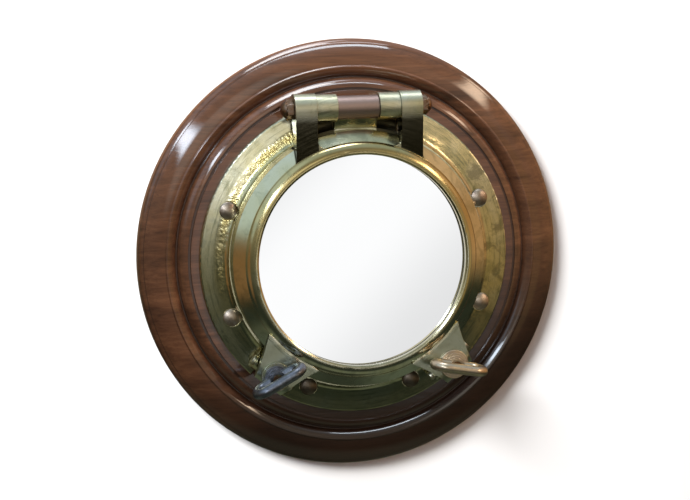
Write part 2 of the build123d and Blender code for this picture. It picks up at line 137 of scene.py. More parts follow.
# Spots: azimuth, elevation, inner and outer angle in degrees, and colour
STUDIO_SPOTS = (
    (-60, 36, 20, 34, (0.66, 0.84, 1.00, 1)),
    (-70, -10, 8, 20, (0.26, 0.15, 0.07, 1)),
    (-4, 9, 6, 14, (1.12, 1.08, 0.93, 1)),
    (27, 10, 5, 16, (0.45, 0.42, 0.33, 1)),
    (33, -6, 6, 14, (0.42, 0.30, 0.13, 1)),
    (78, 30, 8, 20, (0.80, 0.56, 0.40, 1)),
)
# Strips: direction square to the strip, azimuth and elevation of its middle, outer angle, and colour
STUDIO_STRIPS = (
    ((-0.6395, 0, -0.7687), -26, 18, 17, (15.0, 17.0, 19.5, 1)),
    ((-0.6203, -0.1743, 0.7647), 46, 23, 18, (11.5, 8.6, 6.1, 1)),
)
STRIP_EDGE = (0.075, 0.02)
STRIP_INNER = 6
# White sheet in front of the pane, with a paler streak square to a direction
SHEET_SPOT = (13, -8, 4.8, 5.8)
SHEET_FOOT = (-0.2233, -0.2147)
STREAK_ACROSS = (-0.68, -0.25, 0.69)
STREAK_EDGE = (0.012, 0.075)
STREAK_WHITE = (1.02, 1.02, 1.02, 1)
SHEET_WHITE = (0.80, 0.80, 0.80, 1)
# Even light for matt surfaces
FILL_BELOW = (0.055, 0.05, 0.045, 1)
FILL_ABOVE = (0.50, 0.50, 0.52, 1)
FILL_RIGHT = (0.92, 0.59, 0.34, 1)
PLAIN_WHITE = (1, 1, 1, 1)

BACKDROP_HALF = 6
FLOOR_LEVEL = -0.9
AIM_HEIGHT = 0.03
SENSOR_WIDTH = 36


def colour(name, description, red, green, blue):
    """Colour property with an opaque default."""
    return FloatVectorProperty(name=name, description=description, subtype="COLOR", size=4,
                               min=0, max=1, default=(red, green, blue, 1))


def length(name, description, default):
    """Length property in metres."""
    return FloatProperty(name=name, description=description, unit="LENGTH", min=0, default=default)


def offset(name, description, default):
    """Length property in metres that may be negative."""
    return FloatProperty(name=name, description=description, unit="LENGTH", default=default)


def angle(name, description, degrees):
    """Angle property with its default in degrees."""
    return FloatProperty(name=name, description=description, subtype="ANGLE", default=math.radians(degrees))


def power(name, description, default):
    """Power property of a lamp."""
    return FloatProperty(name=name, description=description, unit="POWER", min=0, default=default)


def share(name, description, default):
    """Property between 0 and 1."""
    return FloatProperty(name=name, description=description, subtype="FACTOR", min=0, max=1, default=default)


class PortholeFinishes(bpy.types.PropertyGroup):
    """Colours and gloss of the finishes."""

    # Dark wood also paints the shade in the quirk lines and the groove
    wood_dark: colour("Dark wood", "Late wood and pores of the turned ring", 0.034, 0.0125, 0.0055)
    wood_mid: colour("Middle wood", "Main tone of the turned ring", 0.092, 0.035, 0.0150)
    wood_red: colour("Red wood", "Warm early wood of the turned ring", 0.155, 0.062, 0.027)
    # Painted shade for the lower right of the ring
    wood_shade: colour("Shaded wood", "Painted shade at the lower right of the ring", 0.012, 0.0045, 0.0020)
    # Painted warm light on the side of the ring
    wood_rim_glow: colour("Rim glow wood", "Painted warm glow on the side of the turned ring", 0.40, 0.100, 0.022)
    wood_gloss: share("Wood gloss", "Roughness of the lacquer on the wood", 0.06)
    brass_gold: colour("Gold brass", "Polished brass of the castings", 0.62, 0.565, 0.345)
    brass_pale: colour("Pale brass", "Worn, silvery brass", 0.71, 0.685, 0.54)
    # Olive brass also paints the shade towards the bottom of the flange
    brass_olive: colour("Olive brass", "Tarnished, greenish brass", 0.26, 0.27, 0.165)
    # Brown of the stains, also painted shade in the hinge gaps and a painted dark reflection on the straps
    brass_stain_and_shade: colour("Brown brass", "Brown stains, painted shade in the gaps and painted dark reflection on the straps", 0.055, 0.046, 0.026)
    # Painted warm reflection on the upper part of the lip
    brass_lip_reflection: colour("Lip brass", "Painted warm reflection on the upper lip", 0.56, 0.43, 0.17)
    # Painted glints: bright gold that stands in for light caught by the knobbly ring
    brass_glint: colour("Glinting brass", "Painted gold glints on the knobbly cast ring", 0.86, 0.66, 0.22)
    lug_green: colour("Lug green", "Grey-green bloom on the forked lugs", 0.42, 0.47, 0.38)
    bronze_brown: colour("Brown bronze", "Cap nuts and pins", 0.27, 0.15, 0.085)
    bronze_grey: colour("Grey bronze", "Round bolt heads", 0.50, 0.41, 0.33)
    bronze_mauve: colour("Mauve bronze", "Tarnish on the bolt heads", 0.34, 0.25, 0.20)
    sleeve_brown: colour("Sleeve", "Mauve-brown sleeve of the hinge", 0.40, 0.285, 0.25)
    nut_steel: colour("Dark steel", "Left ring nut", 0.14, 0.148, 0.172)
    nut_blue: colour("Blue steel", "Bluish bloom on the left ring nut", 0.215, 0.23, 0.275)
    washer_grey: colour("Grey washer", "Washer of the left dog", 0.36, 0.37, 0.33)
    nut_tan: colour("Tan bronze", "Tan right ring nut", 0.62, 0.50, 0.36)
    silver: colour("Silver", "Silvering of the mirror", 0.96, 0.965, 0.97)
    rubber: colour("Rubber", "Bedding and gasket", 0.02, 0.02, 0.019)


class PortholeShapes(bpy.types.PropertyGroup):
    """Sizes of the turned and rounded pieces."""

    edge_round: length("Edge round", "Rounding of turned edges", 0.0006)
    casting_round: length("Casting round", "Rounding of the edges of the castings", 0.0005)
    turn_steps: IntProperty(name="Turning steps", description="Steps of a full turn", min=12, default=180)


class PortholeStage(bpy.types.PropertyGroup):
    """Camera, wall and light."""

    azimuth: angle("Azimuth", "Camera's turn about the upright", -13)
    elevation: angle("Elevation", "Camera's height angle", 8)
    roll: angle("Roll", "Camera's turn about its own line of sight", 1.46)
    distance: length("Distance", "From the camera to the point that it looks at", 1.671)
    lens: FloatProperty(name="Lens", description="Focal length on a 36 mm sensor", unit="CAMERA", default=89.8)
    aim_right: offset("Aim right", "Aim beside the middle of the port", -0.0106)
    aim_up: offset("Aim up", "Aim above the middle of the port", 0.00627)
    wall_white: colour("Wall", "Pale wall and floor", 0.55, 0.55, 0.55)
    wall_gap: length("Wall gap", "Gap between the wall and the back of the ring", 0.0015)
    wood_power: power("Wood light", "Power of the soft light from high up on the wood", 23)
    strip_power: power("Strip light", "Power of the long strip above, for the wood's gloss", 13)
    wall_power: power("Wall light", "Power of the light that casts the shadow on the wall", 400)


# Shader nodes


def plug(tree, socket, value):
    """Links an output to a socket, or sets the socket to a value."""
    if isinstance(value, bpy.types.NodeSocket):
        tree.links.new(value, socket)
    else:
        socket.default_value = value


def put(tree, kind, inputs=None, **settings):
    """Adds a node, sets its options and sets or links its inputs."""
    made = tree.nodes.new(kind)
    for key, value in settings.items():
        setattr(made, key, value)
    for key, value in (inputs or {}).items():
        plug(tree, made.inputs[key], value)
    return made


def feed(tree, shader, **inputs):
    """Links or sets the shader's inputs; underscores stand for spaces."""
    for key, value in inputs.items():
        plug(tree, shader.inputs[key.replace("_", " ")], value)


def reckon(tree, operation, first, second=0.0):
    """Output of a Math node."""
    return put(tree, "ShaderNodeMath", {0: first, 1: second}, operation=operation).outputs[0]


def plus(tree, first, second):
    """Sum of two values."""
    return reckon(tree, "ADD", first, second)


def times(tree, first, second):
    """Product of two values."""
    return reckon(tree, "MULTIPLY", first, second)


def less(tree, first, second):
    """First value less the second."""
    return reckon(tree, "SUBTRACT", first, second)


def size_of(tree, value):
    """Value without its sign."""
    return reckon(tree, "ABSOLUTE", value)


def along(tree, vector, way):
    """Part of a vector along a direction."""
    return put(tree, "ShaderNodeVectorMath", {0: vector, 1: way}, operation="DOT_PRODUCT").outputs["Value"]


def blend(tree, factor, first, second):
    """Colour between two colours."""
    return put(tree, "ShaderNodeMix", {0: factor, 6: first, 7: second}, data_type="RGBA").outputs[2]


def rise(tree, value, low, high):
    """Smooth step from 0 at low to 1 at high; high may be the smaller one."""
    return put(tree, "ShaderNodeMapRange", {"Value": value, "From Min": low, "From Max": high},
               interpolation_type="SMOOTHSTEP").outputs[0]


def band(tree, value, low, high, soft):
    """1 between low and high, 0 outside, with soft ends."""
    return times(tree, rise(tree, value, low - soft, low + soft),
                 less(tree, 1.0, rise(tree, value, high - soft, high + soft)))


def placed(tree, scale=(1, 1, 1), turn=(0, 0, 0)):
    """Object coordinates, turned and scaled."""
    coordinates = put(tree, "ShaderNodeTexCoord").outputs["Object"]
    return put(tree, "ShaderNodeMapping", {"Vector": coordinates, "Rotation": turn, "Scale": scale}).outputs[0]


def grainy(tree, vector, scale, detail=4.0, rough=0.55, bent=0.0):
    """Noise value."""
    return put(tree, "ShaderNodeTexNoise", {"Vector": vector, "Scale": scale, "Detail": detail,
                                            "Roughness": rough, "Distortion": bent}).outputs["Fac"]


def bump(tree, height, distance, strength, under=None):
    """Normal from a height, on top of another normal if there is one."""
    inputs = {"Height": height, "Distance": distance, "Strength": strength}
    if under is not None:
        inputs["Normal"] = under
    return put(tree, "ShaderNodeBump", inputs).outputs[0]


def rounded_normal(tree, radius):
    """Normal that rounds the edges."""
    return put(tree, "ShaderNodeBevel", {"Radius": radius}, samples=4).outputs[0]


def flattened(tree):
    """Object coordinates with the depth taken out, and the three coordinates."""
    coordinates = put(tree, "ShaderNodeTexCoord").outputs["Object"]
    x, y, z = put(tree, "ShaderNodeSeparateXYZ", {0: coordinates}).outputs
    return put(tree, "ShaderNodeCombineXYZ", {"X": x, "Z": z}).outputs[0], (x, y, z)


def radius_of(tree):
    """Distance from the porthole's centre line, and the object coordinates."""
    flat, parts = flattened(tree)
    return put(tree, "ShaderNodeVectorMath", {0: flat}, operation="LENGTH").outputs["Value"], parts


def around(tree, turns, across):
    """Coordinates that run round the centre line, for marks drawn out along the circle."""
    flat = flattened(tree)[0]
    way = put(tree, "ShaderNodeVectorMath", {0: flat}, operation="NORMALIZE").outputs[0]
    far = put(tree, "ShaderNodeVectorMath", {0: flat}, operation="LENGTH").outputs["Value"]
    ways = put(tree, "ShaderNodeSeparateXYZ", {0: way}).outputs
    return put(tree, "ShaderNodeCombineXYZ", {"X": times(tree, ways[0], turns), "Y": times(tree, far, across),
                                              "Z": times(tree, ways[2], turns)}).outputs[0]


# Finishes


def new_finish(name):
    """Empty material with its shader; returns material, tree and shader."""
    material = bpy.data.materials.new(name)
    material.use_nodes = True
    tree = material.node_tree
    return material, tree, tree.nodes["Principled BSDF"]


def turned_wood_finish(finishes, shapes):
    """Lacquered dark hardwood with its grain along X, with painted shade at the lower right and in the quirk
    lines, and a painted warm glow on its side.
    """
    material, tree, shader = new_finish("turned_dark_wood")
    figure = grainy(tree, placed(tree, FIGURE_SCALE, GRAIN_SLANT), 1.0, 8.0, 0.62, 1.4)
    streaks = grainy(tree, placed(tree, STREAK_SCALE, GRAIN_SLANT), 1.0, 5.0, 0.65, 0.4)
    pores = grainy(tree, placed(tree, PORE_SCALE, GRAIN_SLANT), 1.0, 2.0, 0.5)
    open_pore = rise(tree, pores, 0.58, 0.70)
    mixed = plus(tree, times(tree, figure, 0.62), times(tree, streaks, 0.38))
    tone = blend(tree, rise(tree, mixed, 0.30, 0.52), finishes.wood_dark, finishes.wood_mid)
    tone = blend(tree, rise(tree, mixed, 0.46, 0.68), tone, finishes.wood_red)
    across, (x, y, z) = radius_of(tree)
    # Darker towards the bottom and the right: painted shade, where the ring gets less light
    bottom_shade = rise(tree, less(tree, z, times(tree, x, 0.3)), *WOOD_SHADE_ZONE)
    tone = blend(tree, times(tree, bottom_shade, 0.92), tone, finishes.wood_shade)
    # Redder on the outer side: painted warm light catching the rim
    side = times(tree, rise(tree, across, *WOOD_SIDE_RADIUS), rise(tree, y, *WOOD_SIDE_DEPTH))
    tone = blend(tree, times(tree, side, 0.8), tone, finishes.wood_rim_glow)
    # Dark lines in each quirk and in the groove at the front: painted shade in the recesses
    quirk_shade = 0.0
    for quirk in SHADED_QUIRKS:
        quirk_shade = plus(tree, band(tree, across, *quirk), quirk_shade)
    quirk_shade = times(tree, quirk_shade, rise(tree, y, *WOOD_FRONT_DEPTH))
    tone = blend(tree, times(tree, quirk_shade, 0.75), tone, finishes.wood_dark)
    rounded = rounded_normal(tree, shapes.edge_round)
    feed(tree, shader, Base_Color=blend(tree, times(tree, open_pore, 0.4), tone, finishes.wood_dark),
         Roughness=plus(tree, 0.42, times(tree, streaks, 0.2)), Specular_IOR_Level=0.15,
         Coat_Weight=1.0, Coat_Roughness=finishes.wood_gloss, Coat_IOR=1.6,
         Normal=bump(tree, less(tree, 1.0, open_pore), 0.0001, 0.4, rounded),
         Coat_Normal=bump(tree, figure, 0.0008, 0.05, rounded))
    return material


def base_patina(tree, finishes, tone, tarnish, rough, smooth, drawn):
    """Base casting: knobbly ring with painted glints at the upper left, brown stains at the right, painted
    shade in the gaps at the hinge and towards the bottom.
    """
    across, (x, _, z) = radius_of(tree)
    spread = placed(tree)
    pitted = rise(tree, grainy(tree, spread, 22.0, 3.0, 0.6), 0.4, 0.6)
    upper_left = rise(tree, less(tree, z, times(tree, x, 0.55)), *CAST_UPPER_LEFT)
    lumpy = plus(tree, 0.12, times(tree, upper_left, 0.88))
    cast = times(tree, times(tree, band(tree, across, *CAST_RING), lumpy),
                 plus(tree, 0.25, times(tree, pitted, 0.75)))
    stains = times(tree, rise(tree, grainy(tree, spread, 42.0, 5.0, 0.65, 0.8), 0.48, 0.60),
                   rise(tree, x, *FLANGE_RIGHT))
    # Brown, rougher and free of tarnish in the gaps under the hinge knuckles: painted shade in the recesses
    gaps = times(tree, band(tree, size_of(tree, x), *GAP_WIDTH), band(tree, z, *GAP_HEIGHT))
    # Bright gold on the knobbly ring, strongest at the upper left: painted glints over the real bumps
    tone = blend(tree, times(tree, cast, 0.8), tone, finishes.brass_glint)
    # Brown stains at the right together with the painted shade in the gaps
    darkening = plus(tree, times(tree, stains, 0.5), times(tree, gaps, 0.95))
    tone = blend(tree, darkening, tone, finishes.brass_stain_and_shade)
    # More olive towards the bottom: painted shade
    low = less(tree, 1.0, rise(tree, z, *FLANGE_LOW_SHADE))
    tarnish = plus(tree, tarnish, times(tree, rise(tree, drawn, 0.5, 0.66), 0.5))
    tarnish = times(tree, plus(tree, tarnish, times(tree, low, 0.35)), less(tree, 1.0, gaps))
    rough = plus(tree, rough, times(tree, rise(tree, across, *FLANGE_OUTSIDE), 0.07))
    rough = plus(tree, less(tree, rough, times(tree, cast, 0.06)), times(tree, gaps, 0.25))
    skin = grainy(tree, spread, 300.0, 4.0, 0.6)
    return tone, tarnish, rough, bump(tree, times(tree, skin, cast), 0.0012, 0.75, smooth)


def leaf_patina(tree, finishes, tone, tarnish, rough):
    """Leaf casting: painted warm reflection on the upper lip, grey-green lugs, smooth straps darkened by a
    painted dark reflection.
    """
    across, (x, _, z) = radius_of(tree)
    lip = times(tree, rise(tree, across, *LIP_RADIUS), rise(tree, z, *LIP_UPPER))
    lug = times(tree, rise(tree, z, *LUG_HEIGHT), rise(tree, across, *LUG_RADIUS))
    strap = times(tree, band(tree, size_of(tree, x), *STRAP_WIDTH), band(tree, z, *STRAP_HEIGHT))
    strap = times(tree, strap, rise(tree, across, *STRAP_RADIUS))
    bare = less(tree, 1.0, strap)
    # More golden on the upper lip: painted warm reflection
    tone = blend(tree, times(tree, lip, 0.7), tone, finishes.brass_lip_reflection)
    tone = blend(tree, times(tree, lug, 0.75), tone, finishes.lug_green)
    # Dark straps: painted dark reflection of their down-facing fronts
    tone = blend(tree, times(tree, strap, 0.97), tone, finishes.brass_stain_and_shade)
    rough = plus(tree, rough, times(tree, lug, 0.12))
    rough = times(tree, rough, plus(tree, 0.35, times(tree, bare, 0.65)))
    return tone, times(tree, tarnish, bare), rough


def cast_brass_finish(name, finishes, shapes, part):
    """Cast and polished brass: uneven skin, tarnish, and the patina, painted glints, painted reflections and
    painted shade of each part.
    """
    material, tree, shader = new_finish(name)
    spread = placed(tree)
    patches = grainy(tree, spread, 14.0, 3.0, 0.55, 0.6)
    mottle = grainy(tree, spread, 70.0, 5.0, 0.6, 0.5)
    drawn = grainy(tree, around(tree, 5.0, 420.0), 1.0, 5.0, 0.6, 0.3)
    grit = grainy(tree, spread, 1300.0, 3.0, 0.6)
    tone = blend(tree, rise(tree, patches, 0.36, 0.66), finishes.brass_gold, finishes.brass_pale)
    tarnish = times(tree, rise(tree, mottle, 0.47, 0.68), 0.4)
    rough = plus(tree, 0.10, times(tree, mottle, 0.14))
    smooth = bump(tree, patches, 0.0022, 0.05, rounded_normal(tree, shapes.casting_round))
    smooth = bump(tree, drawn, 0.0004, 0.09, smooth)
    if part == "base":
        tone, tarnish, rough, smooth = base_patina(tree, finishes, tone, tarnish, rough, smooth, drawn)
    else:
        tone, tarnish, rough = leaf_patina(tree, finishes, tone, tarnish, rough)
    x, _, z = radius_of(tree)[1]
    satin = times(tree, rise(tree, z, *BARREL_HEIGHT), rise(tree, size_of(tree, x), *BARREL_WIDTH))
    feed(tree, shader, Base_Color=blend(tree, tarnish, tone, finishes.brass_olive), Metallic=1.0,
         Roughness=plus(tree, rough, times(tree, satin, 0.16)),
         Normal=bump(tree, grit, 0.00006, 0.25, smooth))
    return material


def plain_metal_finish(name, shapes, tint, shade, roughness, patchy=1.0, darkening=0.0):
    """Worn small metal part: two tones, fine handling marks, and painted shade on what sits low."""
    material, tree, shader = new_finish(name)
    spread = placed(tree)
    mottle = grainy(tree, spread, 160.0, 5.0, 0.6, 0.5)
    marks = grainy(tree, spread, 700.0, 3.0, 0.6)
    tone = blend(tree, times(tree, rise(tree, mottle, 0.4, 0.66), patchy), tint, shade)
    _, (_, _, z) = radius_of(tree)
    # Darker low down: painted shade on the bolts at the bottom
    low = times(tree, rise(tree, z, *LOW_BOLTS_SHADED), darkening)
    feed(tree, shader, Base_Color=blend(tree, low, tone, BOLT_SHADE), Metallic=1.0,
         Roughness=plus(tree, roughness, times(tree, mottle, 0.16)),
         Normal=bump(tree, marks, 0.00008, 0.3, rounded_normal(tree, shapes.edge_round)))
    return material


def mirror_finish(finishes):
    """Silvered glass, painted dark at the back."""
    material, tree, shader = new_finish("silvered_mirror")
    _, (_, depth, _) = radius_of(tree)
    low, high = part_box("mirror_pane")
    back = rise(tree, depth, (low[1] + high[1]) / 2, high[1] - 0.0005)
    feed(tree, shader, Base_Color=blend(tree, back, finishes.silver, finishes.rubber),
         Metallic=less(tree, 1.0, back), Roughness=times(tree, back, 0.5))
    return material


def rubber_finish(finishes):
    """Dull black rubber."""
    material, tree, shader = new_finish("black_rubber")
    dust = grainy(tree, placed(tree), 400.0, 3.0)
    feed(tree, shader, Base_Color=finishes.rubber, Roughness=plus(tree, 0.6, times(tree, dust, 0.3)),
         Normal=bump(tree, dust, 0.0001, 0.3))
    return material


# Meshes


def dress(node, material):
    """Gives a CAD node its finish."""
    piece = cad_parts[node]
    if piece.material_slots:
        piece.material_slots[0].material = material
    else:
        piece.data.materials.append(material)


def cad_copy(node):
    """Editable mesh of a CAD node, with its doubles merged."""
    bm = bmesh.new()
    bm.from_mesh(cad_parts[node].data)
    bmesh.ops.remove_doubles(bm, verts=bm.verts[:], dist=MERGE_DISTANCE)
    return bm


def softened_copy(node, width):
    """Mesh of a CAD node with its flats joined and its edges rounded."""
    bm = cad_copy(node)
    bmesh.ops.dissolve_limit(bm, angle_limit=FLAT_ANGLE, verts=bm.verts[:], edges=bm.edges[:])
    sharp = [edge for edge in bm.edges
             if len(edge.link_faces) == 2 and edge.calc_face_angle(0) > SHARP_ANGLE]
    bmesh.ops.bevel(bm, geom=sharp, offset=width, offset_type="OFFSET", affect="EDGES",
                    segments=2, profile=0.5, material=-1, clamp_overlap=False)
    return bm


def section_point(radius, height):
    """Point of a section, from its radius and its height above the wall in millimetres."""
    return FRONT * height / 1000 + Vector((radius / 1000, 0, 0))


def draw_on(bm, end, goal):
    """Straight run of a section from its last point to a goal."""
    point = bm.verts.new(goal)
    bm.edges.new((end, point))
    return point


def arc_on(bm, end, goal, turn, steps):
    """Arc of a section from its last point to a goal, turning by an angle in degrees."""
    square = (goal - end.co).cross(Vector((0, 0, 1)))
    centre = (end.co + goal) / 2 - square / (2 * math.tan(math.radians(turn) / 2))
    made = bmesh.ops.spin(bm, geom=[end], cent=centre, axis=(0, 0, 1), dvec=(0, 0, 0),
                          angle=math.radians(turn), steps=steps, use_merge=False)
    return made["geom_last"][0]


def make_piece(name, bm, body, nodes, material, crease=180):
    """Turns a mesh into a smooth piece, sharp from the crease up, that rides on a body in place of nodes."""
    mesh = bpy.data.meshes.new(name)
    bm.to_mesh(mesh)
    bm.free()
    if "custom_normal" in mesh.attributes:
        mesh.attributes.remove(mesh.attributes["custom_normal"])
    mesh.shade_smooth()
    mesh.set_sharp_from_angle(angle=math.radians(crease))
    mesh.materials.clear()
    mesh.materials.append(material)
    piece = bpy.data.objects.new(name, mesh)
    bpy.context.scene.collection.objects.link(piece)
    piece.modifiers.new("even_normals", "WEIGHTED_NORMAL").keep_sharp = True
    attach(piece, body)
    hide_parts(*nodes)


def soften(node, name, body, material, width):
    """Makes a piece from a CAD node with its edges rounded."""
    make_piece(name, softened_copy(node, width), body, [node], material)


def choices(context):
    """The finishes and the shapes that are set in the scene."""
    return context.scene.porthole_finishes, context.scene.porthole_shapes


# Operators


class PORTHOLE_OT_wooden_ring(bpy.types.Operator):
    """Turn the front of the wooden ring and finish the ring"""

    bl_idname = "porthole.wooden_ring"
    bl_label = "Wooden Ring"

    def execute(self, context):
        finishes, shapes = choices(context)
        bm = cad_copy("wood_mount")
        bmesh.ops.delete(bm, geom=[face for face in bm.faces if self.is_moulding(face)], context="FACES")
        before = set(bm.verts)
        end = bm.verts.new(section_point(*SECTION_START))
        for radius, height, turn, steps in WOOD_SECTION:
            goal = section_point(radius, height)
            end = arc_on(bm, end, goal, turn, steps) if turn else draw_on(bm, end, goal)
        chain = [vert for vert in bm.verts if vert not in before]
        edges = {edge for vert in chain for edge in vert.link_edges}
        bmesh.ops.spin(bm, geom=chain + list(edges), cent=(0, 0, 0), axis=FRONT, dvec=(0, 0, 0),
                       angle=math.tau, steps=shapes.turn_steps, use_merge=True)
        bmesh.ops.remove_doubles(bm, verts=bm.verts[:], dist=MERGE_DISTANCE)
        for rim in (0, 1):
            bmesh.ops.bridge_loops(bm, edges=self.open_edges(bm)[rim])
        bmesh.ops.recalc_face_normals(bm, faces=bm.faces[:])
        if any(not edge.is_manifold for edge in bm.edges):
            raise RuntimeError("the wooden ring isn't closed")
        make_piece("turned_wooden_ring", bm, "frame", ["wood_mount"],
                   turned_wood_finish(finishes, shapes), WOOD_CREASE)
        return {"FINISHED"}

    def is_moulding(self, face):
        """True for a face of the CAD ring's moulded front and side."""
        middle = face.calc_center_median()
        height, radius = -middle.y, math.hypot(middle.x, middle.z)
        below_seat = height < SEAT_HEIGHT and radius > SEAT_WALL
        return height > BACK_EDGE and (below_seat or radius > SEAT_EDGE)

    def open_edges(self, bm):
        """Open edges near the seat, and open edges at the rim."""
        loose = [edge for edge in bm.edges if edge.is_boundary]
        inner = [edge for edge in loose
                 if math.hypot(edge.verts[0].co.x, edge.verts[0].co.z) < BETWEEN_OPEN_EDGES]
        return inner, [edge for edge in loose if edge not in inner]


class PORTHOLE_OT_castings(bpy.types.Operator):
    """Finish the base and leaf castings"""

    bl_idname = "porthole.castings"
    bl_label = "Brass Castings"

    def execute(self, context):
        finishes, shapes = choices(context)
        dress("base_ring", cast_brass_finish("base_cast_brass", finishes, shapes, "base"))
        dress("leaf_ring", cast_brass_finish("leaf_cast_brass", finishes, shapes, "leaf"))
        return {"FINISHED"}


class PORTHOLE_OT_fasteners(bpy.types.Operator):
    """Finish the bolts, washers and nuts of the flange"""

    bl_idname = "porthole.fasteners"
    bl_label = "Flange Fasteners"

    def execute(self, context):
        finishes, shapes = choices(context)
        # The bolt heads low on the flange get painted shade
        heads = plain_metal_finish("grey_bronze", shapes, finishes.bronze_grey, finishes.bronze_mauve, 0.3,
                                   darkening=0.7)
        soften("flange_bolts", "flange_round_bolts", "frame", heads, shapes.edge_round)
        for node in ("flange_washers", "flange_nuts"):
            dress(node, heads)
        return {"FINISHED"}


class PORTHOLE_OT_hinge(bpy.types.Operator):
    """Finish the pin, sleeve and cap nuts of the hinge"""

    bl_idname = "porthole.hinge"
    bl_label = "Hinge Fittings"

    def execute(self, context):
        finishes, shapes = choices(context)
        brown = plain_metal_finish("brown_bronze", shapes, finishes.bronze_brown, finishes.bronze_mauve, 0.2)
        sleeve = plain_metal_finish("sleeve_brown", shapes, finishes.sleeve_brown, finishes.bronze_mauve, 0.38,
                                    patchy=0.25)
        dress("hinge_pin", brown)
        soften("hinge_sleeve", "hinge_brown_sleeve", "frame", sleeve, shapes.edge_round)
        for side in SIDES:
            node = "hinge_cap_nut_" + side
            soften(node, node + "_domed", "frame", brown, shapes.edge_round)
        return {"FINISHED"}


class PORTHOLE_OT_pane(bpy.types.Operator):
    """Finish the mirror pane, its bedding, retaining ring and gasket"""

    bl_idname = "porthole.pane"
    bl_label = "Mirror Pane"

    def execute(self, context):
        finishes, shapes = choices(context)
        dress("mirror_pane", mirror_finish(finishes))
        rubber = rubber_finish(finishes)
        dress("pane_bedding", rubber)
        dress("leaf_gasket", rubber)
        dress("pane_retaining_ring", cast_brass_finish("ring_brass", finishes, shapes, "leaf"))
        return {"FINISHED"}


class PORTHOLE_OT_dogs(bpy.types.Operator):
    """Finish the dog bolts, their pins and their washers"""

    bl_idname = "porthole.dogs"
    bl_label = "Dogs"

    def execute(self, context):
        finishes, shapes = choices(context)
        bolt = plain_metal_finish("bolt_bronze", shapes, finishes.bronze_brown, finishes.brass_olive, 0.28)
        pin = plain_metal_finish("pin_brass", shapes, finishes.brass_pale, finishes.bronze_grey, 0.25)
        steel = plain_metal_finish("washer_steel", shapes, finishes.washer_grey, finishes.brass_olive, 0.3)
        tan = plain_metal_finish("washer_tan", shapes, finishes.nut_tan, finishes.bronze_grey, 0.3)
        for side, metal, washer in zip(SIDES, ("gunmetal", "bronze"), (steel, tan)):
            dress("dog_bolt_" + side, bolt)
            node = "dog_pin_" + side
            soften(node, node + "_riveted", "frame", pin, shapes.edge_round)
            node = "dog_washer_" + side
            soften(node, node + "_rounded", "washer_" + side, washer, shapes.edge_round)
        return {"FINISHED"}


class PORTHOLE_OT_ring_nuts(bpy.types.Operator):
    """Finish the ring nuts"""

    bl_idname = "porthole.ring_nuts"
    bl_label = "Ring Nuts"

    def execute(self, context):
        finishes, shapes = choices(context)
        steel = plain_metal_finish("nut_steel", shapes, finishes.nut_steel, finishes.nut_blue, 0.3)
        tan = plain_metal_finish("nut_tan", shapes, finishes.nut_tan, finishes.bronze_grey, 0.26)
        dress("ring_nut_left", steel)
        dress("ring_nut_right", tan)
        return {"FINISHED"}


